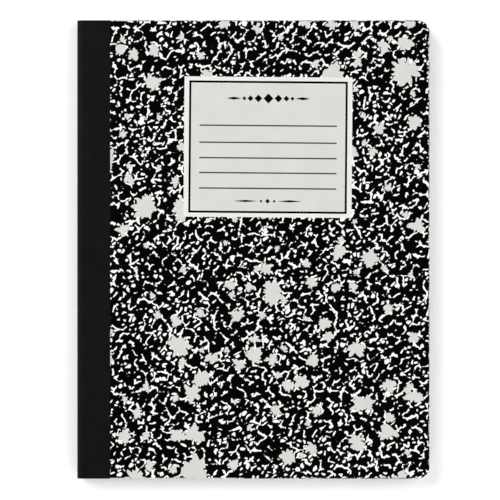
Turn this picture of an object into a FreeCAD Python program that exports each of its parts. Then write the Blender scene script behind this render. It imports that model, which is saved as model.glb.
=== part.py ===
import FreeCAD, Part
import Sketcher
import math
import os

# A sewn composition notebook lying on its back cover, in millimetres.
# A stack of ruled sheets and one cover board are folded together, sewn through the fold and trimmed
# on three sides. A strip of black tape then goes round the spine, over the stitches. The covers swing
# at a crease beside the spine, so board and tape are each made in three nodes that meet at the creases.
# Row frame: X from spine to fore edge, Y up the page towards the head, Z from back cover to front cover.
# Each body is drawn from the spine's outer face and the back tape's underside, and its placement moves
# it across, so that the origin lies under the middle of the book.

SIZES = [
    ("book_width", 190.5, "outer face of the spine to the fore edge"),
    ("book_height", 247.65, "tail to head"),
    ("pages_thick", 9.0, "100 leaves lying together"),
    ("board_thick", 0.75, "cover board"),
    ("tape_thick", 0.2, "spine tape"),
    ("tape_bed", 0.05, "depth that the tape is pressed into the board"),
    ("tape_lap", 18.0, "outer face of the spine to the edge of the tape on each cover"),
    ("fold_radius", 2.2, "round shoulders of the folded sheets at the spine"),
    ("crease_flat", 0.9, "flat between the round shoulder of the spine and the crease"),
    ("corner_radius", 6.35, "die-cut corners at the fore edge"),
    ("thread_diam", 0.5, "sewing thread"),
    ("thread_slack", 0.05, "clearance round the thread in its holes and groove"),
    ("stitch_pitch", 8.0, "distance between the holes of the stitches"),
    ("end_margin", 4.0, "least distance from the end holes to the trimmed edges"),
]

# Two places count as the same within this many millimetres.
SAME = 1e-4


def cell(name):
    """The expression that reads one size of the sheet."""
    return "sizes." + name


# Levels and places that follow from the driving sizes, as expressions for the features.
TAPE_PROUD = f"({cell('tape_thick')} - {cell('tape_bed')})"
FOLD_THICK = f"({cell('board_thick')} - {cell('tape_bed')})"
FOLD_BACK = cell("tape_thick")
PAGES_BACK = f"({FOLD_BACK} + {FOLD_THICK})"
PAGES_LOW = f"({TAPE_PROUD} + {cell('board_thick')})"
PAGES_HIGH = f"({PAGES_LOW} + {cell('pages_thick')})"
BOOK_HIGH = f"({PAGES_HIGH} + {PAGES_LOW})"
FOLD_LOW = cell("tape_thick")
FOLD_HIGH = f"({BOOK_HIGH} - {cell('tape_thick')})"
MIDDLE = f"({BOOK_HIGH} / 2)"
FOLD_ROUND = f"({cell('fold_radius')} + {FOLD_THICK})"
TAPE_ROUND = f"({FOLD_ROUND} + {cell('tape_thick')})"
CREASE = f"({TAPE_ROUND} + {cell('crease_flat')})"
HEAD = f"({cell('book_height')} / 2)"
HOLE_DIAM = f"({cell('thread_diam')} + 2 * {cell('thread_slack')})"
OUTER_RUN = f"({FOLD_BACK} + {HOLE_DIAM} / 2)"
INNER_RUN = f"({PAGES_BACK} + {cell('pages_thick')} / 2 + {HOLE_DIAM} / 2)"
STITCHES = f"(floor(({cell('book_height')} - 2 * {cell('end_margin')}) / {cell('stitch_pitch')}) + 1)"
SEAM = f"(({STITCHES} - 1) * {cell('stitch_pitch')})"


def make_sheet(doc):
    """The spreadsheet of driving sizes: what each is, its value, and its alias."""
    sheet = doc.addObject("Spreadsheet::Sheet", "sizes")
    for row, (name, value, meaning) in enumerate(SIZES, start=1):
        sheet.set(f"A{row}", meaning)
        sheet.set(f"B{row}", str(value))
        sheet.setAlias(f"B{row}", name)
    doc.recompute()


def number(doc, expression):
    """The value that an expression on the sheet has now."""
    return float(doc.getObject("sizes").evalExpression(expression))


def make_body(doc, name):
    """An empty body, moved across so that the row's origin is under the middle of the book."""
    body = doc.addObject("PartDesign::Body", name)
    body.Label = name
    body.setExpression("Placement.Base.x", f"-{cell('book_width')} / 2")
    return body


def make_sketch(body, name, plane, offset=None):
    """A sketch on one of the body's origin planes, moved along its normal by an expression."""
    sketch = body.newObject("Sketcher::SketchObject", name)
    planes = {feature.Role: feature for feature in body.Origin.OriginFeatures}
    sketch.AttachmentSupport = [(planes[plane], "")]
    sketch.MapMode = "FlatFace"
    if offset:
        sketch.setExpression("AttachmentOffset.Base.z", offset)
    return sketch


def bind(sketch, name, kind, places, expression):
    """Adds a named dimension to a sketch and ties it to the sheet."""
    value = number(sketch.Document, expression)
    index = sketch.addConstraint(Sketcher.Constraint(kind, *places, value))
    sketch.renameConstraint(index, name)
    sketch.setExpression(f"Constraints.{name}", expression)


def draw_box(sketch, left, right, low, high):
    """A rectangle tied to the sheet. Its sides are lines 0 to 3: low, right, high and left."""
    x0, x1, y0, y1 = (number(sketch.Document, edge) for edge in (left, right, low, high))
    corners = [FreeCAD.Vector(x, y, 0) for x, y in ((x0, y0), (x1, y0), (x1, y1), (x0, y1))]
    for side, start in enumerate(corners):
        sketch.addGeometry(Part.LineSegment(start, corners[(side + 1) % 4]), False)
    for side, direction in enumerate(("Horizontal", "Vertical", "Horizontal", "Vertical")):
        sketch.addConstraint(Sketcher.Constraint("Coincident", side, 2, (side + 1) % 4, 1))
        sketch.addConstraint(Sketcher.Constraint(direction, side))
    bind(sketch, "left", "DistanceX", (-1, 1, 0, 1), left)
    bind(sketch, "low", "DistanceY", (-1, 1, 0, 1), low)
    bind(sketch, "right", "DistanceX", (-1, 1, 1, 2), right)
    bind(sketch, "high", "DistanceY", (-1, 1, 1, 2), high)


def draw_round_back(sketch, back, right, low, high, radius):
    """A rectangle tied to the sheet, whose two corners at the back are round.

    Its sides are lines 0 to 3: low, right, high and back. Arcs 4 and 5 are the high and the low corner.
    """
    x0, x1, y0, y1, bend = (number(sketch.Document, size) for size in (back, right, low, high, radius))
    ends = [((x0 + bend, y0), (x1, y0)), ((x1, y0), (x1, y1)), ((x1, y1), (x0 + bend, y1))]
    ends.append(((x0, y1 - bend), (x0, y0 + bend)))
    for start, end in ends:
        sketch.addGeometry(Part.LineSegment(FreeCAD.Vector(*start, 0), FreeCAD.Vector(*end, 0)), False)
    for level, first, last in ((y1 - bend, math.pi / 2, math.pi), (y0 + bend, math.pi, 1.5 * math.pi)):
        circle = Part.Circle(FreeCAD.Vector(x0 + bend, level, 0), FreeCAD.Vector(0, 0, 1), bend)
        sketch.addGeometry(Part.ArcOfCircle(circle, first, last), False)
    for side, direction in enumerate(("Horizontal", "Vertical", "Horizontal", "Vertical")):
        sketch.addConstraint(Sketcher.Constraint(direction, side))
    for side, end, other, start in ((0, 2, 1, 1), (1, 2, 2, 1)):
        sketch.addConstraint(Sketcher.Constraint("Coincident", side, end, other, start))
    for side, end, arc, start in ((2, 2, 4, 1), (3, 1, 4, 2), (3, 2, 5, 1), (0, 1, 5, 2)):
        sketch.addConstraint(Sketcher.Constraint("Tangent", side, end, arc, start))
    sketch.addConstraint(Sketcher.Constraint("Equal", 4, 5))
    bind(sketch, "back", "DistanceX", (-1, 1, 3, 1), back)
    bind(sketch, "low", "DistanceY", (-1, 1, 0, 2), low)
    bind(sketch, "right", "DistanceX", (-1, 1, 1, 2), right)
    bind(sketch, "high", "DistanceY", (-1, 1, 1, 2), high)
    bind(sketch, "bend", "Radius", (4,), radius)


def draw_circle(sketch, across, up, diameter):
    """A circle whose centre and diameter are tied to the sheet."""
    x, y, size = (number(sketch.Document, value) for value in (across, up, diameter))
    circle = Part.Circle(FreeCAD.Vector(x, y, 0), FreeCAD.Vector(0, 0, 1), size / 2)
    sketch.addGeometry(circle, False)
    bind(sketch, "across", "DistanceX", (-1, 1, 0, 3), across)
    bind(sketch, "up", "DistanceY", (-1, 1, 0, 3), up)
    bind(sketch, "diameter", "Diameter", (0,), diameter)


def pad(body, sketch, length, both_ways=False):
    """Adds the sketch's area to the body, carried along its normal, or half of it each way."""
    feature = body.newObject("PartDesign::Pad", sketch.Name + "_pad")
    feature.Profile = sketch
    feature.SideType = "Symmetric" if both_ways else "One side"
    feature.setExpression("Length", length)
    body.Document.recompute()
    return feature


def pocket(body, sketch, length, both_ways=False, along_normal=False):
    """Cuts the sketch's area out of the body, and stops the script if that took nothing away."""
    before = body.Shape.Volume
    feature = body.newObject("PartDesign::Pocket", sketch.Name + "_cut")
    feature.Profile = sketch
    feature.SideType = "Symmetric" if both_ways else "One side"
    feature.Reversed = along_normal
    feature.setExpression("Length", length)
    body.Document.recompute()
    if body.Shape.Volume > before - SAME:
        raise RuntimeError(f"{feature.Name} cuts nothing")
    return feature


def repeat_up_the_seam(body, feature):
    """Copies the first stitch's hole or leg to every other stitch."""
    before = body.Shape.Volume
    pattern = body.newObject("PartDesign::LinearPattern", feature.Name + "_row")
    pattern.Originals = [feature]
    axes = {part.Role: part for part in body.Origin.OriginFeatures}
    pattern.Direction = (axes["Y_Axis"], [""])
    pattern.setExpression("Length", SEAM)
    pattern.setExpression("Occurrences", STITCHES)
    body.Tip = pattern
    body.Document.recompute()
    if abs(body.Shape.Volume - before) < SAME:
        raise RuntimeError(f"{pattern.Name} repeats nothing")


def round_corners(body, name):
    """Rounds the upright edges at the fore edge."""
    tip = body.Tip
    fore_edge = number(body.Document, cell("book_width"))
    upright = [
        f"Edge{index}"
        for index, edge in enumerate(tip.Shape.Edges, start=1)
        if edge.BoundBox.ZLength > SAME and edge.BoundBox.YLength < SAME
        and abs(edge.BoundBox.XMin - fore_edge) < SAME and abs(edge.BoundBox.XMax - fore_edge) < SAME
    ]
    feature = body.newObject("PartDesign::Fillet", name)
    feature.Base = (tip, upright)
    feature.setExpression("Radius", cell("corner_radius"))
    body.Document.recompute()


def make_pages(doc):
    """The folded sheets, as one solid: round shoulders at the fold, and holes for the thread."""
    body = make_body(doc, "pages")
    section = make_sketch(body, "pages_section", "XZ_Plane")
    draw_round_back(section, PAGES_BACK, cell("book_width"), PAGES_LOW, PAGES_HIGH, cell("fold_radius"))
    pad(body, section, cell("book_height"), both_ways=True)
    round_corners(body, "pages_corners")
    tunnel = make_sketch(body, "pages_tunnel", "XZ_Plane")
    draw_circle(tunnel, INNER_RUN, MIDDLE, HOLE_DIAM)
    pocket(body, tunnel, cell("book_height"), both_ways=True)
    hole = make_sketch(body, "pages_hole", "YZ_Plane")
    draw_circle(hole, f"-{SEAM} / 2", MIDDLE, HOLE_DIAM)
    repeat_up_the_seam(body, pocket(body, hole, INNER_RUN, along_normal=True))


def make_cover(doc, name, low, bed_low):
    """One swinging cover: board from the crease to the fore edge, with a bed for the tape."""
    body = make_body(doc, name)
    outline = make_sketch(body, name + "_outline", "XY_Plane", low)
    draw_box(outline, CREASE, cell("book_width"), f"-{HEAD}", HEAD)
    pad(body, outline, cell("board_thick"))
    round_corners(body, name + "_corners")
    bed = make_sketch(body, name + "_bed", "XY_Plane", bed_low)
    draw_box(bed, CREASE, cell("tape_lap"), f"-{HEAD}", HEAD)
    pocket(body, bed, cell("tape_bed"), along_normal=True)


def make_wrap(doc, name, outer, inner):
    """A strip that goes round the spine from crease to crease.

    Outer and inner give its two faces: the place of the back, the low and the high level, and the
    radius of the shoulders.
    """
    body = make_body(doc, name)
    back, low, high, radius = outer
    section = make_sketch(body, name + "_section", "XZ_Plane")
    draw_round_back(section, back, CREASE, low, high, radius)
    pad(body, section, cell("book_height"), both_ways=True)
    back, low, high, radius = inner
    hollow = make_sketch(body, name + "_hollow", "XZ_Plane")
    draw_round_back(hollow, back, CREASE, low, high, radius)
    pocket(body, hollow, cell("book_height"), both_ways=True)
    return body


def make_spine_fold(doc):
    """The folded part of the cover board, with a groove and holes for the thread."""
    outer = (FOLD_BACK, FOLD_LOW, FOLD_HIGH, FOLD_ROUND)
    inner = (PAGES_BACK, PAGES_LOW, PAGES_HIGH, cell("fold_radius"))
    body = make_wrap(doc, "spine_fold", outer, inner)
    groove = make_sketch(body, "spine_fold_groove", "XZ_Plane")
    low, high = (f"({MIDDLE} {sign} {HOLE_DIAM} / 2)" for sign in "-+")
    draw_box(groove, FOLD_BACK, f"({FOLD_BACK} + {HOLE_DIAM})", low, high)
    pocket(body, groove, cell("book_height"), both_ways=True)
    hole = make_sketch(body, "spine_fold_hole", "YZ_Plane")
    draw_circle(hole, f"-{SEAM} / 2", MIDDLE, HOLE_DIAM)
    repeat_up_the_seam(body, pocket(body, hole, PAGES_BACK, along_normal=True))


def make_spine_tape(doc):
    """The part of the tape that goes round the spine."""
    outer = ("0", "0", BOOK_HIGH, TAPE_ROUND)
    inner = (FOLD_BACK, FOLD_LOW, FOLD_HIGH, FOLD_ROUND)
    make_wrap(doc, "spine_tape", outer, inner)


def make_thread(doc):
    """The lockstitch: one thread up the outside of the fold, one up the inside, joined in each hole."""
    body = make_body(doc, "sewing_thread")
    outer = make_sketch(body, "thread_outer_run", "XZ_Plane")
    draw_circle(outer, OUTER_RUN, MIDDLE, cell("thread_diam"))
    pad(body, outer, cell("book_height"), both_ways=True)
    leg = make_sketch(body, "thread_leg", "YZ_Plane", OUTER_RUN)
    draw_circle(leg, f"-{SEAM} / 2", MIDDLE, cell("thread_diam"))
    repeat_up_the_seam(body, pad(body, leg, f"{INNER_RUN} - {OUTER_RUN}"))
    inner = make_sketch(body, "thread_inner_run", "XZ_Plane")
    draw_circle(inner, INNER_RUN, MIDDLE, cell("thread_diam"))
    pad(body, inner, cell("book_height"), both_ways=True)


def make_tape_flap(doc, name, low):
    """The part of the tape that is glued to one cover, from the crease to the tape's edge."""
    flap = doc.addObject("Part::Box", name)
    flap.Label = name
    flap.setExpression("Length", f"{cell('tape_lap')} - {CREASE}")
    flap.setExpression("Width", cell("book_height"))
    flap.setExpression("Height", cell("tape_thick"))
    flap.setExpression("Placement.Base.x", f"{CREASE} - {cell('book_width')} / 2")
    flap.setExpression("Placement.Base.y", f"-{HEAD}")
    flap.setExpression("Placement.Base.z", low)


def make_notebook(doc):
    """Every node of the notebook."""
    make_sheet(doc)
    make_pages(doc)
    make_thread(doc)
    make_spine_fold(doc)
    make_spine_tape(doc)
    make_cover(doc, "front_cover", PAGES_HIGH, FOLD_HIGH)
    make_cover(doc, "back_cover", TAPE_PROUD, TAPE_PROUD)
    make_tape_flap(doc, "front_tape", FOLD_HIGH)
    make_tape_flap(doc, "back_tape", "0")
    doc.recompute()


def check(doc, nodes):
    """Stops the script if a feature failed, or if a node isn't one valid closed solid."""
    for feature in doc.Objects:
        if {"Invalid", "Error"} & set(feature.State):
            raise RuntimeError(f"{feature.Name} failed: {feature.State}")
    for node in nodes:
        shape = node.Shape
        if shape.isNull() or not shape.isValid() or len(shape.Solids) != 1 or shape.Volume <= 0:
            raise RuntimeError(f"{node.Label} is not one valid solid")


def export(nodes):
    """Writes each node's shape to its own file."""
    os.makedirs("parts", exist_ok=True)
    for node in nodes:
        node.Shape.exportStep(f"parts/{node.Label}.step")
        box = node.Shape.BoundBox
        lengths = ", ".join(f"{length:.2f}" for length in (box.XLength, box.YLength, box.ZLength))
        print(f"{node.Label}: {lengths} mm, {node.Shape.Volume / 1000:.2f} cm3")


def main():
    doc = FreeCAD.newDocument("composition_notebook")
    make_notebook(doc)
    nodes = [o for o in doc.Objects if o.TypeId in ("PartDesign::Body", "Part::Box")]
    check(doc, nodes)
    export(nodes)


main()
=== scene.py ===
# %% [markdown]
# # A composition notebook
#
# A sewn school notebook lies closed on its back cover. Fifty sheets and one board are folded round each
# other like nested brackets, sewn through the fold, and wrapped at the spine with black cloth tape.
# The frame comes first: it holds the real size of every part, and nothing here may leave it.

# %% Load the frame
import math

import bmesh
import bpy
import numpy as np
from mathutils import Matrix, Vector


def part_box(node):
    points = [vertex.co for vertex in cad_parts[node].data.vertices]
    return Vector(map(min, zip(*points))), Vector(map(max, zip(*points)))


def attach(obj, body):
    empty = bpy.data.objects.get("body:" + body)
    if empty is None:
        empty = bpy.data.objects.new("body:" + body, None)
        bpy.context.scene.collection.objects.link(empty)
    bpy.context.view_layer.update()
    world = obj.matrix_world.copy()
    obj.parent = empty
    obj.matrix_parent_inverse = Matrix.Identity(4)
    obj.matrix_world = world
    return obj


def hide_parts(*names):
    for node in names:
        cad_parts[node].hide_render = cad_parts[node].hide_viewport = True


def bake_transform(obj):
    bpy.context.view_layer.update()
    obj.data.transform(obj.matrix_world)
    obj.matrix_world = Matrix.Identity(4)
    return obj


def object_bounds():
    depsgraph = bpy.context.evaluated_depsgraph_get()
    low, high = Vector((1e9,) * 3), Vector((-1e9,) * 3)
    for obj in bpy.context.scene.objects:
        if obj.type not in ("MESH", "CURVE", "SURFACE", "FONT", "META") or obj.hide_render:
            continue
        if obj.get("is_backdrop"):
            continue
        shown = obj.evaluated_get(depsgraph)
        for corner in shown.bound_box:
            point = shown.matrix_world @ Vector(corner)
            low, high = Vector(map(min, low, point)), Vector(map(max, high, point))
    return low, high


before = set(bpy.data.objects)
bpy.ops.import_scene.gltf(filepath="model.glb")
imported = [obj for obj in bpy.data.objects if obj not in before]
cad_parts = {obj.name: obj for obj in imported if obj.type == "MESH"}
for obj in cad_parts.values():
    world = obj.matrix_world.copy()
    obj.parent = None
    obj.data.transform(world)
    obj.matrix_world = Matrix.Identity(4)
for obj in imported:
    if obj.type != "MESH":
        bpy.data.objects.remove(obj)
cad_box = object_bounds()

MM = 0.001
print("frame in mm:", [[round(value / MM, 2) for value in corner] for corner in cad_box])

# %% [markdown]
# ## Where everything lies
#
# Every sheet of the book, the board and the tape follow the same section: up the spine, round the
# shoulder, and flat to the fore edge. They differ only in how deep they lie. So one number, the depth
# below the first page, tells them apart: it is 0 on the first page, grows into the book, and is
# negative in the board and the tape.

# %% Read the levels and places
tape_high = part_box("spine_tape")[1]
fold_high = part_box("spine_fold")[1]
pages_low, pages_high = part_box("pages")
cover_low, cover_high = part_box("front_cover")
lap_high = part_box("front_tape")[1]

PAGE_BACK, FORE_EDGE = pages_low.x, pages_high.x
PAGE_TOP, MIDDLE = pages_high.z, (pages_low.z + pages_high.z) / 2
HALF_HEIGHT = pages_high.y
CREASE, LAP_EDGE = cover_low.x, lap_high.x
# The round of the outermost sheet at the spine, and the die-cut corners at the fore edge.
FOLD_RADIUS, CORNER_RADIUS = 2.2 * MM, 6.35 * MM
SHOULDER_END, CORNER_START = PAGE_BACK + FOLD_RADIUS, FORE_EDGE - CORNER_RADIUS

PAGES_DEEP = PAGE_TOP - MIDDLE
TAPE_OUT = PAGE_TOP - tape_high.z
FOLD_OUT = PAGE_TOP - fold_high.z
BOARD_OUT = PAGE_TOP - cover_high.z
print("depths in mm: tape %.2f, fold %.2f, board %.2f" % (TAPE_OUT / MM, FOLD_OUT / MM, BOARD_OUT / MM))

# %% [markdown]
# ## One formula for all layers
#
# A row is a place along the section. It is stored as the part of the section that it lies in and its
# share of that part, because the parts change length with depth: deep in the fold the round shoulder
# has shrunk to a sharp corner, as it does in real nested sheets. In the last part the head and tail
# edges curve in along the round corner, so its rows are angles round that corner.

# %% Rows of the section, and the points of a layer
SPINE, SHOULDER, FLAT, CORNER = range(4)


def section_rows(spine_steps, shoulder_steps, flat_places, corner_steps):
    """The rows from the middle of the spine outwards, as two arrays: the part, and the share of it.

    A share runs from 0 to 1 within its part. In the flat part it is the place x itself.
    """
    counts = (spine_steps, shoulder_steps, len(flat_places), corner_steps)
    part = np.repeat([SPINE, SHOULDER, FLAT, CORNER], counts)
    shares = [np.arange(spine_steps) / spine_steps, np.arange(shoulder_steps) / shoulder_steps]
    shares += [np.asarray(flat_places), np.arange(1, corner_steps + 1) / max(corner_steps, 1)]
    return part, np.concatenate(shares)


def book_points(rows, across, depth, inset=0.0):
    """The points of one layer, as an array of rows by columns by 3.

    across runs from -1 at the tail to 1 at the head. depth may differ from point to point. inset moves
    the layer's outline inwards, at right angles to it.
    Up the spine x is constant. Round the shoulder (x, z) goes through a quarter turn of radius
    FOLD_RADIUS - depth, or 0 if that is negative. On the flat z is constant, and x is squeezed a little,
    so that all layers meet the corner at the same x. At the corner x grows as the sine and the half
    height shrinks as the cosine of the angle.
    """
    part, share = rows[0][:, None], rows[1][:, None].copy()
    if part[-1, 0] == FLAT:
        share[-1] -= inset
    depth = depth + np.zeros((len(part), len(across)))
    bend = np.maximum(FOLD_RADIUS - depth, 0)
    back, top = PAGE_BACK + depth, PAGE_TOP - depth
    turn = share * math.pi / 2
    round_corner = CORNER_RADIUS - inset
    squeeze = (CORNER_START - back - bend) / (CORNER_START - SHOULDER_END)
    where = [part == SPINE, part == SHOULDER, part == FLAT]
    x = np.select(
        where,
        [back, back + bend * (1 - np.cos(turn)), back + bend + (share - SHOULDER_END) * squeeze],
        CORNER_START + round_corner * np.sin(turn),
    )
    z = np.select(
        where[:2],
        [MIDDLE + share * (top - bend - MIDDLE), top - bend * (1 - np.sin(turn))],
        top,
    )
    curved = HALF_HEIGHT - CORNER_RADIUS + round_corner * np.cos(turn)
    half = np.where(part == CORNER, curved, HALF_HEIGHT - inset)
    return np.stack([x, half * across[None, :], z], axis=2)


middle_line = book_points(section_rows(2, 4, [0.0], 6), np.array([0.0]), 0.0)[:, 0] / MM
print("the first page runs from x = %.2f to %.2f mm" % (middle_line[0, 0], middle_line[-1, 0]))

# %% [markdown]
# ## A sheet with a rim
#
# Board, tape and pages are all a face, a rim and, for board and tape, an inner face. The rim is the
# edge that a knife or a die has cut. It is a short profile of insets and depths, carried round the
# border of the sheet: every step of it is simply the border of a layer with another inset and depth.

# %% Grids to faces
def quads(grid):
    """The four corners of each cell of a grid, for a grid of point numbers as for one of UV places."""
    corners = [grid[:-1, :-1], grid[1:, :-1], grid[1:, 1:], grid[:-1, 1:]]
    return np.stack(corners, axis=2).reshape(-1, 4, *grid.shape[2:])


def border(grid):
    """The border of a grid: up the tail side, along the last row, and back down the head side."""
    return np.concatenate([grid[:, 0], grid[-1, 1:], grid[-2::-1, -1]])


def lengths(points):
    """The distance travelled along a line of points, from 0."""
    steps = np.linalg.norm(np.diff(points, axis=0), axis=1)
    return np.concatenate([[0.0], np.cumsum(steps)])


sample = np.arange(12).reshape(3, 4)
print("a grid of 3 by 4 points:", len(quads(sample)), "faces,", len(border(sample)), "points round it")

# %% [markdown]
# ## Two maps for each face
#
# A printed sheet needs a map that says which point of the print lies where. The first map, "place", is
# in real metres on the unrolled sheet, and the patterns read it. The second, "OFBake", fits the same
# places into a square image, into which an export can bake the finish.

# %% Maps of a face
# Where the face, the inner face and the rim lie across the image, from 0 to 1. The face gets the most.
BAKE_SPANS = ((0.01, 0.79), (0.81, 0.90), (0.92, 0.99))
UP_SPAN = (0.01, 0.99)


def fit(values, low, high):
    """values, stretched to run from low to high."""
    span = values.max() - values.min()
    return low + (values - values.min()) / span * (high - low)


def face_maps(points, bake_span):
    """Both maps of a face: its places on the unrolled sheet, and the same fitted into the image.

    Along the section the place is the distance travelled, counted so that it equals x on the flat.
    """
    middle = points[:, points.shape[1] // 2]
    run = lengths(middle)
    run += FORE_EDGE - run[-1] if middle[-1, 0] > CORNER_START else middle[-1, 0] - run[-1]
    place = np.stack([run[:, None] + np.zeros(points.shape[:2]), points[..., 1]], axis=2)
    bake = np.stack([fit(place[..., 0], *bake_span), fit(place[..., 1], *UP_SPAN)], axis=2)
    return place, bake


def rim_maps(points, ring_ids, bake_span):
    """Both maps of a rim: the distance down its profile, and the distance along the border."""
    down = lengths(points[ring_ids[:, 0]])[:, None] + np.zeros(ring_ids.shape)
    along = lengths(points[ring_ids[1]])[None, :] + np.zeros(ring_ids.shape)
    bake = np.stack([fit(down, *bake_span), fit(along, *UP_SPAN)], axis=2)
    return np.stack([down, along], axis=2), bake


print("shares of the image: face %.2f-%.2f, inner face %.2f-%.2f, rim %.2f-%.2f" % sum(BAKE_SPANS, ()))

# %% Build the sheet
def bent_sheet(rows, across, face_depth, inner_depth, rim, rim_slots, slots, spans=BAKE_SPANS):
    """The arrays of half a sheet: points, faces, their material slots, both maps and the wear.

    rim is a list of (inset, depth), from the face's border to the inner face's. rim_slots gives the
    material of each strip of it, and slots those of the face and the inner face. Without an inner
    depth the sheet has no inner face, and its rim ends in the middle of the book. A sheet with one
    is closed by a cap where its two faces end, in the middle of the spine. The wear is 1 round the rim
    and 0 on the faces.
    """
    layers = [book_points(rows, across, face_depth, rim[0][0])]
    has_inner = inner_depth is not None
    if has_inner:
        layers.append(book_points(rows, across, inner_depth, rim[-1][0]))
    size = layers[0][..., 0].size
    ids = [np.arange(size).reshape(layers[0].shape[:2]) + i * size for i in range(len(layers))]

    steps = rim[1:-1] if has_inner else rim[1:]
    rings = [border(book_points(rows, across, depth, inset)) for inset, depth in steps]
    count = len(rings[0])
    ring_ids = [border(ids[0])]
    ring_ids += [len(layers) * size + i * count + np.arange(count) for i in range(len(rings))]
    ring_ids = np.array(ring_ids + ([border(ids[1])] if has_inner else []))
    points = np.concatenate([layer.reshape(-1, 3) for layer in layers] + rings)
    wear = np.zeros(len(points))
    wear[ring_ids[1:-1]] = 1.0

    faces = [quads(grid) for grid in ids] + [quads(ring_ids)]
    face_slots = [np.full(len(faces[i]), slots[i]) for i in range(len(layers))]
    face_slots.append(np.repeat(rim_slots, count - 1))
    maps = [face_maps(layer, span) for layer, span in zip(layers, spans)]
    maps.append(rim_maps(points, ring_ids, spans[2]))
    places, bakes = ([quads(pair[kind]) for pair in maps] for kind in (0, 1))
    caps = []
    if has_inner:
        faces.append(quads(np.stack([ids[0][0], ids[1][0]])))
        face_slots.append(np.full(len(faces[-1]), slots[1]))
        for store in (places, bakes):
            store.append(np.broadcast_to(store[0][:1, :1], (len(faces[-1]), 4, 2)))
        caps = [ring_ids[:, 0].tolist(), ring_ids[:, -1].tolist()]
    return {
        "points": points, "faces": np.concatenate(faces), "slots": np.concatenate(face_slots),
        "place": np.concatenate(places), "bake": np.concatenate(bakes), "wear": wear,
        "caps": caps, "cap_slot": slots[1],
    }


trial_rim = [(0, 0.0), (0, 0.5 * MM), (0, 1.0 * MM)]
trial_rows = section_rows(1, 2, [CREASE, CORNER_START], 3)
trial = bent_sheet(trial_rows, np.linspace(-1, 1, 3), 0.0, 1.0 * MM, trial_rim, [0, 0], (0, 0))
print("a coarse trial sheet has", len(trial["points"]), "points and", len(trial["faces"]), "faces")

# %% From arrays to an object
# Points nearer than this are one, and edges sharper than this stay sharp.
WELD, SHARP = 0.0005 * MM, math.radians(50)


def mirrored(sheet):
    """The same sheet at the back of the book: every height is turned over about the middle."""
    turned = dict(sheet)
    turned["points"] = sheet["points"] * (1, 1, -1) + (0, 0, 2 * MIDDLE)
    return turned


def make_object(name, sheets, materials):
    """One mesh object from one or more sheets, joined where they meet, with its faces outwards."""
    points = np.concatenate([sheet["points"] for sheet in sheets])
    starts = np.cumsum([0] + [len(sheet["points"]) for sheet in sheets[:-1]])
    faces, slots, places, bakes = [], [], [], []
    for start, sheet in zip(starts, sheets):
        faces += (sheet["faces"] + start).tolist() + [[start + i for i in cap] for cap in sheet["caps"]]
        slots += sheet["slots"].tolist() + [sheet["cap_slot"]] * len(sheet["caps"])
        for store, key in ((places, "place"), (bakes, "bake")):
            store.append(sheet[key].reshape(-1, 2))
            store += [np.broadcast_to(sheet[key][0, 0], (len(cap), 2)) for cap in sheet["caps"]]
    mesh = bpy.data.meshes.new(name)
    mesh.from_pydata(points.tolist(), [], faces)
    for layer_name, layer in (("place", places), ("OFBake", bakes)):
        uv = mesh.uv_layers.new(name=layer_name)
        uv.uv.foreach_set("vector", np.concatenate(layer).astype(np.float32).ravel())
    wear = np.concatenate([sheet["wear"] for sheet in sheets]).astype(np.float32)
    mesh.attributes.new("wear", "FLOAT", "POINT").data.foreach_set("value", wear)
    mesh.polygons.foreach_set("material_index", slots)
    mesh.polygons.foreach_set("use_smooth", np.ones(len(faces), bool))
    for material in materials:
        mesh.materials.append(material)
    work = bmesh.new()
    work.from_mesh(mesh)
    bmesh.ops.remove_doubles(work, verts=work.verts, dist=WELD)
    bmesh.ops.recalc_face_normals(work, faces=work.faces)
    work.to_mesh(mesh)
    work.free()
    mesh.set_sharp_from_angle(angle=SHARP)
    piece = bpy.data.objects.new(name, mesh)
    bpy.context.scene.collection.objects.link(piece)
    triangles = sum(len(polygon.vertices) - 2 for polygon in mesh.polygons)
    print(f"{name}: {len(mesh.vertices)} points, {triangles} triangles")
    return piece


# %% [markdown]
# ## Finishes
#
# All finishes here are node materials. A small helper keeps them readable: it adds a node, sets what is
# a number and links what is a socket. The printed patterns read the "place" map, so that they stay on
# the board when a cover bends open.

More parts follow.
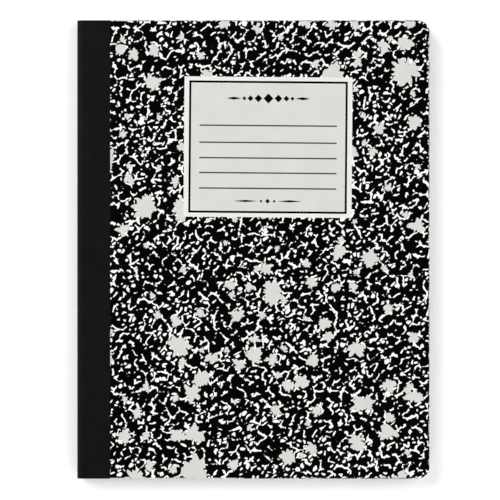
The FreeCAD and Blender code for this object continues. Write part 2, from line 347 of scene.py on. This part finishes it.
# %% A helper for node trees
class Finish:
    """A material's node tree, with short ways to add the nodes used here."""

    def __init__(self, name):
        self.material = bpy.data.materials.new(name)
        self.material.use_nodes = True
        self.tree = self.material.node_tree
        self.tree.nodes.clear()

    def add(self, kind, inputs, **settings):
        """Adds a node, with its settings, and its inputs as numbers or as links."""
        made = self.tree.nodes.new("ShaderNode" + kind)
        for key, value in settings.items():
            setattr(made, key, value)
        for key, value in inputs.items():
            if isinstance(value, bpy.types.NodeSocket):
                self.tree.links.new(value, made.inputs[key])
            else:
                made.inputs[key].default_value = value
        return made

    def math(self, operation, *values):
        """The result of a sum, a product or another function of one to three values."""
        return self.add("Math", dict(enumerate(values)), operation=operation).outputs[0]

    def vector(self, operation, *values, **inputs):
        """The result of a vector function."""
        made = self.add("VectorMath", {**dict(enumerate(values)), **inputs}, operation=operation)
        return made.outputs[0]

    def sheet_place(self):
        """The place on the unrolled sheet."""
        return self.add("UVMap", {}, uv_map="place").outputs[0]

    def split(self, place):
        """The three numbers of a place."""
        return self.add("SeparateXYZ", {0: place}).outputs[:]

    def noise(self, place, size, detail=0.0, output="Fac"):
        """A noise whose lumps are about that many metres across, from 0 to 1 with 0.5 as its mean."""
        inputs = {"Vector": place, "Scale": 1 / size, "Detail": detail}
        return self.add("TexNoise", inputs).outputs[output]

    def between(self, value, low, high, to_low=0.0, to_high=1.0):
        """Rises smoothly from to_low to to_high as value goes from low to high."""
        inputs = {"Value": value, "From Min": low, "From Max": high, "To Min": to_low, "To Max": to_high}
        return self.add("MapRange", inputs, interpolation_type="SMOOTHSTEP").outputs[0]

    def either(self, *masks):
        """The union of masks: the largest of them."""
        result = masks[0]
        for mask in masks[1:]:
            result = self.math("MAXIMUM", result, mask)
        return result

    def mix(self, mask, first, second):
        """Goes from the first colour to the second as the mask goes from 0 to 1."""
        made = self.add("Mix", {"Factor": mask}, data_type="RGBA")
        for socket, colour in ((made.inputs[6], first), (made.inputs[7], second)):
            if isinstance(colour, bpy.types.NodeSocket):
                self.tree.links.new(colour, socket)
            else:
                socket.default_value = (*colour, 1)
        return made.outputs[2]

    def moved(self, place, x, y):
        """The place, moved by some metres, so that two patterns differ."""
        return self.vector("ADD", place, (x, y, 0))

    def turned(self, place, angle):
        """The place, turned about the origin."""
        inputs = {"Vector": place, "Angle": angle}
        return self.add("VectorRotate", inputs, rotation_type="Z_AXIS").outputs[0]

    def warped(self, place, size, reach, detail=1.0):
        """The place, pushed about by up to reach metres in lumps of that size."""
        push = self.vector("SUBTRACT", self.noise(place, size, detail, "Color"), (0.5, 0.5, 0.5))
        return self.vector("ADD", place, self.vector("SCALE", push, Scale=2 * reach))

    def finish(self, colour, roughness, height=None, depth=0.1 * MM, **constants):
        """Ends the tree in a Principled shader, with an optional bump of that depth.

        constants are further inputs of the shader, by their names.
        """
        inputs = {"Base Color": colour, "Roughness": roughness, **constants}
        if not isinstance(colour, bpy.types.NodeSocket):
            inputs["Base Color"] = (*colour, 1)
        if height is not None:
            bump = self.add("Bump", {"Height": height, "Distance": depth, "Strength": 1.0})
            inputs["Normal"] = bump.outputs[0]
        shader = self.add("BsdfPrincipled", inputs)
        self.add("OutputMaterial", {"Surface": shader.outputs[0]})
        print(f"finish {self.material.name}: {len(self.tree.nodes)} nodes")
        return self.material


trial = Finish("trial")
trial.noise(trial.sheet_place(), 1.0 * MM)
print("a map and a noise are two nodes:", [node.bl_idname for node in trial.tree.nodes])
bpy.data.materials.remove(trial.material)

# %% [markdown]
# ## The marbled print
#
# The traditional cover of such a book is black with three kinds of white marks: crooked hairlines that
# fork, dots, and jagged stars. In a paste-paper original the hairlines are where drops of paint nearly
# touch, so the edges of Voronoi cells draw them well: they are as wide everywhere, they fork in
# threes, and they keep clear of the dots, which lie in the middle of cells. Noise pushes the cells out
# of shape and rubs out half of the lines. Each star is a circle whose radius depends on the direction.

# %% Hairlines and dots
# The marks lean, because their cells are turned, drawn out by 1/0.84 one way and pressed together by
# 1/1.08 the other way.
LEAN, DRAWN = math.radians(-40), (0.84, 1.08, 1.0)
CELL, HALF_WIDTH, DOT = 5.0 * MM, 0.49 * MM, 0.70 * MM
SOFT_EDGE = 0.05 * MM


def hairlines_and_dots(f, place):
    """Crooked lines along cell edges, broken by noise, and dots in the middle of some cells.

    A line shows where the noise is over 0.502, which is half of the paper. Where it breaks off, its
    half width falls as a square root, which rounds its end.
    """
    drawn = f.vector("MULTIPLY", f.turned(place, LEAN), DRAWN)
    crooked = f.warped(f.warped(drawn, 3.9 * MM, 1.7 * MM), 2.3 * MM, 0.55 * MM, 0.0)
    inputs = {"Vector": crooked, "Scale": 1 / CELL}
    edges = f.add("TexVoronoi", inputs, voronoi_dimensions="2D", feature="DISTANCE_TO_EDGE")
    cells = f.add("TexVoronoi", inputs, voronoi_dimensions="2D")
    kept = f.noise(f.moved(place, 0.013, 0.029), 3.0 * MM, 1.0)
    ending = f.add("MapRange", {"Value": kept, "From Min": 0.502, "From Max": 0.528}).outputs[0]
    width = f.noise(f.moved(place, 0.06, 0.01), 1.6 * MM, 1.0)
    width = f.math("MULTIPLY_ADD", width, 0.9 * HALF_WIDTH, 0.55 * HALF_WIDTH)
    width = f.math("MULTIPLY", width, f.math("SQRT", ending))
    outside = f.math("SUBTRACT", f.math("MULTIPLY", edges.outputs["Distance"], CELL), width)
    line = f.math("MULTIPLY", f.between(outside, SOFT_EDGE, -SOFT_EDGE), f.between(kept, 0.502, 0.506))
    chance = f.add("SeparateColor", {0: cells.outputs["Color"]})
    radius = f.math("MULTIPLY_ADD", chance.outputs[1], 0.7 * DOT, 0.75 * DOT)
    radius = f.math("MULTIPLY", radius, f.between(chance.outputs[0], 0.55, 0.56))
    outside = f.math("SUBTRACT", f.math("MULTIPLY", cells.outputs["Distance"], CELL), radius)
    return f.either(line, f.between(outside, SOFT_EDGE, -SOFT_EDGE))


print("cells of %.1f mm, lines about %.1f mm wide" % (CELL / MM, 2 * HALF_WIDTH / MM))


# %% Stars
# A row for the large stars and one for the small: how far their grid is moved, the size of its cells,
# the stars' radius, the share of cells without one, and the fineness of their teeth.
STAR_KINDS = (
    ((0.005, -0.074), 24.0 * MM, 5.0 * MM, 0.48, 3.0),
    ((0.050, 0.070), 14.0 * MM, 3.1 * MM, 0.43, 2.3),
)


def stars(f, place, cell, radius, rare, teeth):
    """One star in some cells of a wide grid, whose cells are that size. rare is the share without one.

    Its radius follows two noises read round a circle: a slow one for its lobes, and a finer one, teeth
    lumps to the circle's radius, for its teeth. Squaring the chance that sets the size makes small
    stars common and large ones, of up to 1.35 times radius, rare.
    """
    cells = f.add("TexVoronoi", {"Vector": place, "Scale": 1 / cell}, voronoi_dimensions="2D")
    away = f.vector("SUBTRACT", place, cells.outputs["Position"])
    distance = f.add("VectorMath", {0: away}, operation="LENGTH").outputs["Value"]
    chance = f.add("SeparateColor", {0: cells.outputs["Color"]})
    own_noise = f.vector("SCALE", cells.outputs["Color"], Scale=30.0)
    circle = f.vector("ADD", f.vector("NORMALIZE", away), own_noise)
    shape = f.math("MULTIPLY_ADD", f.noise(circle, 1 / 1.1), 1.2, -0.25)
    shape = f.math("ADD", shape, f.math("MULTIPLY", f.noise(circle, 1 / teeth), 1.3))
    size = f.math("MULTIPLY_ADD", f.math("POWER", chance.outputs[1], 2.0), 0.9 * radius, 0.45 * radius)
    size = f.math("MULTIPLY", size, f.between(chance.outputs[0], rare, rare + 0.01))
    outside = f.math("SUBTRACT", distance, f.math("MULTIPLY", shape, size))
    return f.between(outside, 0.08 * MM, -0.08 * MM)


print("widest stars in mm:", [round(2 * 1.35 * kind[2] / MM, 1) for kind in STAR_KINDS])

# %% Ink and colours
INK = (0.0005, 0.0005, 0.0006)
WHITE = (0.80, 0.80, 0.78)
STAR_WHITE = (0.55, 0.55, 0.52)
BOARD_CORE = (0.50, 0.49, 0.46)
# The varnish and the tape's coat mirror little, so that black looks black from low down too.
LOW_GLOSS = {"Specular IOR Level": 0.05}


def marble(f, place):
    """The colour of the marbled print at a place, and the mask of its white marks."""
    fine = hairlines_and_dots(f, place)
    star = f.either(*(stars(f, f.moved(place, *shift), *kind) for shift, *kind in STAR_KINDS))
    return f.mix(star, f.mix(fine, INK, WHITE), STAR_WHITE), f.either(fine, star)


print("light thrown back: ink %.4f, marks %.2f, stars %.2f" % (INK[0], WHITE[0], STAR_WHITE[0]))

# %% [markdown]
# ## The label
#
# The front cover has a printed panel to write on: a light border, a thin black frame, a greyish field
# with five rules. It was printed half a degree out of true. Where a title and a line of small print
# would be, there are two plain ornaments of diamonds.

# %% The label's sizes and colours
LABEL_CENTRE, LABEL_TURN = (8.45 * MM, 55.3 * MM), math.radians(0.49)
LABEL_SIZE = (90.8 * MM, 75.8 * MM)
FRAME_SIZE, FRAME_LINE = (85.65 * MM, 71.45 * MM), 1.15 * MM
RULE_SIZE = (74.2 * MM, 0.75 * MM)
RULE_LEVELS = [11.6 * MM, 2.4 * MM, -5.95 * MM, -14.0 * MM, -22.35 * MM]
# Each diamond: the place of its middle, half its width and half its height, in mm.
TITLE_LEVEL, NOTE_LEVEL = 26.3 * MM, -29.2 * MM
TITLE_DIAMONDS = [(0.0, 2.7, 2.7), (5.4, 2.1, 2.1), (9.7, 1.6, 1.6), (13.0, 1.1, 1.1), (18.6, 4.0, 0.8)]
NOTE_DIAMONDS = [(0.0, 1.3, 1.3), (3.6, 0.8, 0.8), (12.0, 6.8, 0.6)]
FIELD, BORDER, RULE_INK = (0.56, 0.553, 0.53), (0.66, 0.66, 0.63), (0.04, 0.04, 0.04)
print("label %.1f by %.1f mm, with %d rules" % (*(size / MM for size in LABEL_SIZE), len(RULE_LEVELS)))


# %% Draw the label
def label_places(f, place):
    """The distances across and up from the label's centre, along its own sides."""
    away = f.vector("SUBTRACT", place, (*LABEL_CENTRE, 0))
    return f.split(f.turned(away, LABEL_TURN))[:2]


def rectangle(f, across, up, size, level=0.0):
    """1 inside a rectangle of that size whose middle is at that level."""
    out_across = f.math("SUBTRACT", f.math("ABSOLUTE", across), size[0] / 2)
    out_up = f.math("SUBTRACT", f.math("ABSOLUTE", f.math("SUBTRACT", up, level)), size[1] / 2)
    return f.between(f.math("MAXIMUM", out_across, out_up), 0.03 * MM, -0.03 * MM)


def diamonds(f, across, up, level, shapes):
    """1 inside a row of diamonds, alike on both sides: |x - centre| / wide + |y| / high is under 1."""
    height = f.math("ABSOLUTE", f.math("SUBTRACT", up, level))
    side = f.math("ABSOLUTE", across)
    masks = []
    for centre, wide, high in shapes:
        share = f.math("DIVIDE", f.math("ABSOLUTE", f.math("SUBTRACT", side, centre * MM)), wide * MM)
        total = f.math("ADD", share, f.math("DIVIDE", height, high * MM))
        masks.append(f.between(total, 1.03, 0.97))
    return f.either(*masks)


def with_label(f, place, colour, mask):
    """The colour and white mask of the print, with the label over them."""
    across, up = label_places(f, place)
    whole = rectangle(f, across, up, LABEL_SIZE)
    framed = rectangle(f, across, up, FRAME_SIZE)
    field = rectangle(f, across, up, tuple(size - 2 * FRAME_LINE for size in FRAME_SIZE))
    rules = f.either(*(rectangle(f, across, up, RULE_SIZE, level) for level in RULE_LEVELS))
    title = diamonds(f, across, up, TITLE_LEVEL, TITLE_DIAMONDS)
    note = diamonds(f, across, up, NOTE_LEVEL, NOTE_DIAMONDS)
    panel = f.mix(framed, BORDER, INK)
    panel = f.mix(field, panel, FIELD)
    panel = f.mix(rules, panel, RULE_INK)
    panel = f.mix(f.either(title, note), panel, INK)
    return f.mix(whole, colour, panel), f.either(mask, whole)


print("diamonds in each row:", [2 * len(row) - 1 for row in (TITLE_DIAMONDS, NOTE_DIAMONDS)])


# %% The printed board
def printed_board(name, shift, label=False):
    """The outside of a cover: marbled print on board, under a satin varnish, and worn at its edges."""
    f = Finish(name)
    place = f.sheet_place()
    colour, white = marble(f, f.moved(place, *shift))
    if label:
        colour, white = with_label(f, place, colour, white)
    mottle = f.between(f.noise(place, 14 * MM, 3.0), 0.2, 0.8, 0.97, 1.03)
    colour = f.add("HueSaturation", {"Color": colour, "Value": mottle}).outputs[0]
    wear = f.add("Attribute", {}, attribute_name="wear").outputs["Fac"]
    flaked = f.math("MULTIPLY", wear, f.between(f.noise(place, 1.2 * MM, 3.0), 0.50, 0.62))
    colour = f.mix(flaked, colour, BOARD_CORE)
    fibres = f.noise(place, 0.5 * MM, 3.0)
    roughness = f.math("ADD", f.between(white, 0.0, 1.0, 0.30, 0.40), f.math("MULTIPLY", fibres, 0.08))
    waves = f.noise(f.moved(place, 0.3, 0.1), 38 * MM, 1.0)
    height = f.math("ADD", f.math("MULTIPLY", fibres, 0.03), waves)
    return f.finish(colour, roughness, height, 0.35 * MM, **LOW_GLOSS)


front_print = printed_board("front_print", (0.0, 0.0), label=True)
back_print = printed_board("back_print", (0.31, 0.17))

# %% [markdown]
# ## Bare board
#
# Inside, the cover is the board's own off-white paper face, with faint specks. Its cut edges show the
# pressed pulp: greyer, rough, and drawn out in thin layers along the edge.

# %% Inside and edges of the board
def board_face():
    """The plain inside of the covers."""
    f = Finish("board_inside")
    place = f.sheet_place()
    cloud = f.noise(place, 9 * MM, 3.0)
    specks = f.between(f.noise(place, 0.7 * MM, 2.0), 0.70, 0.74)
    colour = f.mix(f.between(cloud, 0.3, 0.7), (0.560, 0.550, 0.512), (0.580, 0.570, 0.530))
    colour = f.mix(f.math("MULTIPLY", specks, 0.3), colour, (0.36, 0.34, 0.29))
    fibres = f.noise(place, 0.4 * MM, 4.0)
    return f.finish(colour, 0.85, fibres, 0.03 * MM, IOR=1.4)


def board_edge():
    """The cut edges: layers run along the edge, so the noise is stretched along it."""
    f = Finish("board_edge")
    layers = f.noise(f.vector("MULTIPLY", f.sheet_place(), (9.0, 0.6, 1.0)), 0.8 * MM, 3.0)
    colour = f.mix(f.between(layers, 0.3, 0.7), (0.28, 0.272, 0.255), (0.50, 0.49, 0.463))
    return f.finish(colour, 0.9, layers, 0.05 * MM, IOR=1.4)


inside_finish, edge_finish = board_face(), board_edge()

# %% [markdown]
# ## The covers
#
# One board is folded round the sheets. It is made here as two halves that meet in the middle of the
# spine, under the tape, because a piece can bend between two bodies only: the spine, and one cover.
# Close rows lie just past the crease, where the board bends as the cover opens.

# %% Build the board
# Rows stand close at the bend, and at the tape's edge, from where the board lies a little deeper.
BEND = 1.5 * MM
bend_rows = CREASE + BEND * np.linspace(0, 1, 11)
flat_rows = np.concatenate([
    [SHOULDER_END], bend_rows,
    np.linspace(CREASE + 3 * BEND, LAP_EDGE - 1 * MM, 4), [LAP_EDGE - 0.2 * MM, LAP_EDGE],
    np.linspace(LAP_EDGE + 3 * MM, CORNER_START, 24),
])
board_rows = section_rows(4, 10, flat_rows, 14)
board_across = np.linspace(-1, 1, 41)
# The cut edge is slightly rounded, and the rim stays FLUSH inside the outline of the solid.
EDGE_ROUND, FLUSH, STRIP = 0.12 * MM, 0.02 * MM, 0.3 * MM
WARP = 0.03 * MM


def rim_profile(outer, inner, radius, flush, strip, steps=4):
    """Insets and depths of a rim, from the outer face to the inner one.

    It is a flat strip, which keeps the shading of the face flat, then a quarter turn of that radius,
    then the wall, and the same back on the inside.
    """
    turn = np.linspace(0, math.pi / 2, steps)
    inset, depth = flush + radius * (1 - np.sin(turn)), radius * (1 - np.cos(turn))
    edge = flush + radius + strip
    down = [(edge, outer), *zip(inset, outer + depth)]
    return down + [*zip(inset[::-1], inner - depth[::-1]), (edge, inner)]


def waviness(rows, across, size):
    """A slight warp of the board: two crossed waves, which fade out to the edges and before the tape."""
    points = book_points(rows, across, 0.0)
    x, y = points[..., 0], points[..., 1]
    wave = np.sin(x / (31 * MM) + 0.7) * np.cos(y / (43 * MM) - 0.4) + 0.6 * np.sin((x + y) / (57 * MM))
    fade = np.clip((x - LAP_EDGE) / (20 * MM), 0, 1) * np.clip((FORE_EDGE - x) / (15 * MM), 0, 1)
    return size * wave * fade * (1 - across[None, :] ** 4)


def cover_half(name, finish, flip, nodes):
    """Half of the folded board, from the middle of the spine to the fore edge.

    The first strips of its rim are still printed, its wall shows the cut board, and its last strips
    belong to the inside.
    """
    part, share = board_rows
    under_tape = (part < FLAT) | ((part == FLAT) & (share < LAP_EDGE - 0.1 * MM))
    depth = np.where(under_tape, FOLD_OUT, BOARD_OUT)[:, None]
    depth = depth + waviness(board_rows, board_across, WARP)
    rim = rim_profile(BOARD_OUT, 0.0, EDGE_ROUND, FLUSH, STRIP)
    rim_slots = [0, 0, 0] + [1] * (len(rim) - 6) + [2, 2]
    sheet = bent_sheet(board_rows, board_across, depth, 0.0, rim, rim_slots, (0, 2))
    piece = make_object(name, [mirrored(sheet) if flip else sheet], [finish, edge_finish, inside_finish])
    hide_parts(*nodes)
    return piece


front_board = cover_half("front_board", front_print, False, ("front_cover", "spine_fold"))
back_board = cover_half("back_board", back_print, True, ("back_cover", "spine_fold"))

# %% [markdown]
# ## The spine tape
#
# The tape is a coated cloth, 0.2 mm thick. Its weave is too fine for geometry, so it is a bump read
# along the sheet. The sewing under it does show in its form: the thread raises a soft ridge up the
# middle of the spine, and each needle hole pulls in a dimple.

# %% Tape finish
WEAVE = 0.42 * MM


def tape_finish():
    """Black coated cloth: a fine plain weave, filled with a satin coat, a little duller in patches."""
    f = Finish("spine_cloth")
    place = f.sheet_place()
    across, up = f.split(f.warped(place, 3 * MM, 0.05 * MM))[:2]
    warp = f.math("SINE", f.math("MULTIPLY", across, 2 * math.pi / WEAVE))
    weft = f.math("SINE", f.math("MULTIPLY", up, 2 * math.pi / WEAVE))
    weave = f.math("MULTIPLY_ADD", f.math("MULTIPLY", warp, weft), 0.5, 0.5)
    slubs = f.noise(f.vector("MULTIPLY", place, (1.0, 0.12, 1.0)), 0.6 * MM, 3.0)
    cloud = f.noise(place, 11 * MM, 3.0)
    colour = f.mix(f.between(cloud, 0.3, 0.7), (0.0032, 0.0032, 0.0037), (0.0044, 0.0044, 0.0050))
    # Painted shade: the colour is darker in the hollows of the weave and lighter on its raised
    # crossings.
    colour = f.mix(f.math("MULTIPLY", weave, 0.35), colour, (0.0082, 0.0082, 0.0090))
    roughness = f.math("ADD", f.between(cloud, 0.25, 0.75, 0.34, 0.42), f.math("MULTIPLY", slubs, 0.08))
    height = f.math("ADD", weave, slubs)
    return f.finish(colour, roughness, height, 0.025 * MM, **LOW_GLOSS)


cloth = tape_finish()

# %% Build the tape
STITCH_PITCH, STITCHES = 8.0 * MM, 30
TAPE_ROUND, TAPE_STRIP = 0.05 * MM, 0.12 * MM
TROUGH, DIMPLE = 0.055 * MM, 0.11 * MM
tape_flat = np.concatenate([
    [SHOULDER_END], bend_rows, np.linspace(CREASE + 3 * BEND, LAP_EDGE - 0.6 * MM, 5), [LAP_EDGE],
])
tape_rows = section_rows(12, 10, tape_flat, 0)
tape_across = np.linspace(-1, 1, 417)


def stitch_relief(rows, across):
    """How far the tape sinks from its full height near the sewing.

    A trough runs 0.85 mm above and below the spine's middle line, so the thread is left as a ridge
    between the two, and a dimple lies round each needle hole. The section of both is a bell,
    exp(-(distance / width) squared).
    """
    points = book_points(rows, across, TAPE_OUT)
    up, y = points[..., 2] - MIDDLE, points[..., 1]
    on_spine = rows[0][:, None] == SPINE
    along = (y / STITCH_PITCH + (STITCHES - 1) / 2) % 1.0
    hole = np.minimum(along, 1 - along) * STITCH_PITCH
    sewn = np.abs(y) < (STITCHES - 1) / 2 * STITCH_PITCH + 1 * MM
    trough = np.exp(-((np.abs(up) - 0.85 * MM) / (0.45 * MM)) ** 2) * TROUGH
    dimple = np.exp(-(up**2 + hole**2) / (0.65 * MM) ** 2) * DIMPLE
    return np.where(on_spine & sewn, trough + dimple, np.where(on_spine, trough, 0.0))


def tape_half(name, flip, nodes):
    """Half of the tape, from the middle of the spine to its edge on one cover."""
    depth = TAPE_OUT + stitch_relief(tape_rows, tape_across)
    inner = TAPE_OUT + (FOLD_OUT - TAPE_OUT) * 0.98
    rim = rim_profile(TAPE_OUT, inner, TAPE_ROUND, 0.0, TAPE_STRIP, steps=3)
    sheet = bent_sheet(tape_rows, tape_across, depth, inner, rim, [0] * (len(rim) - 1), (0, 0))
    piece = make_object(name, [mirrored(sheet) if flip else sheet], [cloth])
    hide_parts(*nodes)
    return piece


front_tape = tape_half("front_spine_tape", False, ("front_tape", "spine_tape"))
back_tape = tape_half("back_spine_tape", True, ("back_tape", "spine_tape"))

# %% [markdown]
# ## The pages
#
# Fifty folded sheets are a hundred leaves. Their cut edges are the rim of the block: for each sheet the
# rim stands out and falls back into a fine groove, and it does so at every depth down to the middle
# of the book. At head and tail that draws the nested folds, and at the fore edge a hundred lines.

# %% Paper finishes
# Wide ruling: 24 rules, and margins of 33 mm at the head and 31.75 mm, which is 1.25 in, at the side.
RULE_PITCH, RULES = 8.73 * MM, 24
HEAD_MARGIN, SIDE_MARGIN = 33.0 * MM, 31.75 * MM
PAPER = (0.68, 0.68, 0.66)


def ruled_paper(name, margin):
    """Writing paper with blue rules and a red line down the margin, at that x.

    below counts the rules down from the first one, and near is the distance to the nearest of them.
    """
    f = Finish(name)
    place = f.add("TexCoord", {}).outputs["Object"]
    x, y = f.split(place)[:2]
    below = f.math("DIVIDE", f.math("SUBTRACT", HALF_HEIGHT - HEAD_MARGIN, y), RULE_PITCH)
    near = f.math("MULTIPLY", f.math("PINGPONG", below, 0.5), RULE_PITCH)
    rule = f.between(near, 0.24 * MM, 0.16 * MM)
    rule = f.math("MULTIPLY", rule, f.between(below, -0.3, -0.2))
    rule = f.math("MULTIPLY", rule, f.between(below, RULES - 0.7, RULES - 0.8))
    red = f.between(f.math("ABSOLUTE", f.math("SUBTRACT", x, margin)), 0.24 * MM, 0.16 * MM)
    fibres = f.noise(place, 0.6 * MM, 4.0)
    paper = f.mix(f.between(fibres, 0.3, 0.7), tuple(0.97 * c for c in PAPER), PAPER)
    colour = f.mix(f.math("MULTIPLY", rule, 0.9), paper, (0.14, 0.30, 0.55))
    colour = f.mix(f.math("MULTIPLY", red, 0.9), colour, (0.62, 0.09, 0.12))
    return f.finish(colour, 0.8, fibres, 0.02 * MM, IOR=1.4)


def leaf_edges():
    """The cut edges of the leaves: white, each sheet a little lighter or darker than the next.

    The noise is read across the rim and hardly along it, so its lines follow the folds at the spine.
    """
    f = Finish("leaf_edges")
    place = f.sheet_place()
    thin = f.noise(f.vector("MULTIPLY", place, (9.0, 0.05, 1.0)), 1.0 * MM, 2.0)
    cloud = f.noise(place, 12 * MM, 2.0)
    colour = f.mix(f.between(thin, 0.3, 0.7), (0.50, 0.50, 0.475), PAPER)
    colour = f.mix(f.math("MULTIPLY", f.between(cloud, 0.3, 0.7), 0.15), colour, (0.52, 0.51, 0.475))
    return f.finish(colour, 0.85, thin, 0.02 * MM, IOR=1.4)


# %% Build the pages
SHEETS, GROOVE = 50, 0.05 * MM
page_flat = np.concatenate([
    np.linspace(SHOULDER_END, CREASE + 6 * MM, 4), np.linspace(-60 * MM, CORNER_START, 6),
])
page_rows = section_rows(3, 8, page_flat, 8)
page_across = np.linspace(-1, 1, 13)
# The two halves share one image, so each gets half of it. They have no inner face.
PAGE_SPANS = ((0.01, 0.68), (0.0, 0.0), (0.70, 0.99))


def leaf_rim():
    """Insets and depths of the leaf edges: each sheet falls back by GROOVE at its two faces."""
    leaf = PAGES_DEEP / SHEETS
    depths = (np.arange(SHEETS)[:, None] + np.array([0.0, 0.25, 0.75])[None, :]).ravel() * leaf
    insets = FLUSH + np.tile([GROOVE, 0.0, 0.0], SHEETS)
    return list(zip(insets, depths)) + [(FLUSH + GROOVE, PAGES_DEEP)]


def page_block():
    """The two halves of the folded sheets, joined in the middle of the book."""
    rim = leaf_rim()
    rim_slots = [2] * (len(rim) - 1)
    halves = []
    for slot in (0, 1):
        spans = [((low + slot) / 2, (high + slot) / 2) for low, high in PAGE_SPANS]
        sheet = bent_sheet(page_rows, page_across, 0.0, None, rim, rim_slots, (slot, slot), spans)
        halves.append(mirrored(sheet) if slot else sheet)
    finishes = [
        ruled_paper("first_page", PAGE_BACK + SIDE_MARGIN),
        ruled_paper("last_page", FORE_EDGE - SIDE_MARGIN),
        leaf_edges(),
    ]
    piece = make_object("leaves", halves, finishes)
    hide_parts("pages")
    return piece


leaves = page_block()

# %% [markdown]
# ## The thread
#
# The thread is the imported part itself, because its ends are the only part of it that shows: two white
# dots at head and tail. It gets the look of twisted cotton.

# %% Thread finish
TWIST = 0.5 * MM


def cotton():
    """Twisted cotton: slanting ridges, one for each TWIST along the thread, which runs along Y."""
    f = Finish("cotton_thread")
    x, y, z = f.split(f.add("TexCoord", {}).outputs["Object"])
    slant = f.math("ADD", y, f.math("ADD", x, z))
    ridges = f.math("SINE", f.math("MULTIPLY", slant, 2 * math.pi / TWIST))
    ply = f.math("MULTIPLY_ADD", ridges, 0.5, 0.5)
    # Painted shade: the thread is darker in the grooves between its plies and lighter on their ridges.
    colour = f.mix(ply, (0.62, 0.61, 0.56), (0.80, 0.79, 0.75))
    return f.finish(colour, 0.85, ply, 0.04 * MM, IOR=1.45)


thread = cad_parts["sewing_thread"]
thread.data.materials.clear()
thread.data.materials.append(cotton())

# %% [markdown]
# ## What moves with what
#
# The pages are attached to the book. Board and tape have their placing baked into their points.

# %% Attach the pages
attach(leaves, "book")
for piece in (front_board, front_tape):
    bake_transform(piece)
for piece in (back_board, back_tape):
    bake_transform(piece)

# %% [markdown]
# ## Floor, light and camera
#
# The book lies on a pale floor. It is a millimetre lower than the book, so that the back cover can lie
# on it when it is opened. The strongest light comes from the upper left and draws a bright line along
# the round shoulder of the spine. A fill from the right and one from beyond the tail soften the
# shadows. The camera looks straight down through a long lens.

# %% Floor
def make_floor(level, size):
    """A wide pale sheet at that level."""
    f = Finish("pale_floor")
    corners = [(-size, -size, level), (size, -size, level), (size, size, level), (-size, size, level)]
    mesh = bpy.data.meshes.new("floor")
    mesh.from_pydata(corners, [], [(0, 1, 2, 3)])
    mesh.materials.append(f.finish((0.97, 0.97, 0.97), 0.8))
    floor = bpy.data.objects.new("floor", mesh)
    bpy.context.scene.collection.objects.link(floor)
    floor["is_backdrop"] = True
    print(f"floor at {level / MM:.1f} mm")


make_floor(-1.0 * MM, 6.0)

# %% Light
def area_light(name, place, side, power):
    """A square soft light at that place, turned towards the origin: sides in metres, power in watts."""
    data = bpy.data.lights.new(name, "AREA")
    data.shape, data.size, data.energy = "SQUARE", side, power
    light = bpy.data.objects.new(name, data)
    bpy.context.scene.collection.objects.link(light)
    light.location = place
    light.rotation_euler = (-Vector(place)).to_track_quat("-Z", "Y").to_euler()
    light.visible_camera = False
    print(f"{name} light: {power} W from {Vector(place).length:.2f} m away")


def studio_world():
    """White all round the horizon and dark overhead, like a black card round the lens.

    The card keeps black print black in the picture taken from above.
    """
    world = bpy.data.worlds.new("studio")
    bpy.context.scene.world = world
    world.use_nodes = True
    tree = world.node_tree
    parts = tree.nodes.new("ShaderNodeSeparateXYZ")
    card = tree.nodes.new("ShaderNodeMapRange")
    card.interpolation_type = "SMOOTHSTEP"
    for name, value in (("From Min", 0.60), ("From Max", 0.88), ("To Min", 0.50), ("To Max", 0.02)):
        card.inputs[name].default_value = value
    tree.links.new(tree.nodes.new("ShaderNodeTexCoord").outputs["Generated"], parts.inputs[0])
    tree.links.new(parts.outputs[2], card.inputs["Value"])
    tree.links.new(card.outputs[0], tree.nodes["Background"].inputs["Strength"])
    tree.nodes["Background"].inputs["Color"].default_value = (1.0, 1.0, 1.0, 1)


area_light("key", (-1.15, 0.85, 1.3), 1.5, 34)
area_light("fill", (1.4, 0.3, 1.2), 1.5, 16)
area_light("front", (0.1, -1.4, 1.2), 1.5, 16)
studio_world()
bpy.context.scene.view_settings.view_transform = "Standard"

# %% Camera
# The scale of the picture, and the pixel, counted from its upper left corner, where the middle of the
# book lies.
PIXELS, PIXELS_PER_MM = 500, 1.8512
BOOK_CENTRE = (253.2, 249.5)
LENS, SENSOR = 180.0, 36.0


def make_camera():
    """A camera straight above the front cover, placed so that the cover fills the picture as planned.

    Seen from a height, the width of the picture is height * SENSOR / LENS. The camera moves away from
    the book's middle by as much as that middle lies beside the picture's.
    """
    data = bpy.data.cameras.new("camera")
    data.lens, data.sensor_width = LENS, SENSOR
    camera = bpy.data.objects.new("camera", data)
    bpy.context.scene.collection.objects.link(camera)
    pixel = MM / PIXELS_PER_MM
    right, up = (PIXELS / 2 - BOOK_CENTRE[0]) * pixel, (BOOK_CENTRE[1] - PIXELS / 2) * pixel
    height = PIXELS * pixel * LENS / SENSOR
    camera.location = (right, up, tape_high.z + height)
    bpy.context.scene.camera = camera
    print(f"camera {height:.2f} m above the cover, moved by {right / MM:.1f} and {up / MM:.1f} mm")


make_camera()

# %% [markdown]
# ## Finish
#
# The box of the imported parts and that of the visual model are both printed.

# %% Sizes
seen_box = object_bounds()
sizes = {"cad": [list(corner) for corner in cad_box], "visual": [list(corner) for corner in seen_box]}
for kind, box in sizes.items():
    print(kind, "box in mm:", [[round(value / MM, 2) for value in corner] for corner in box])
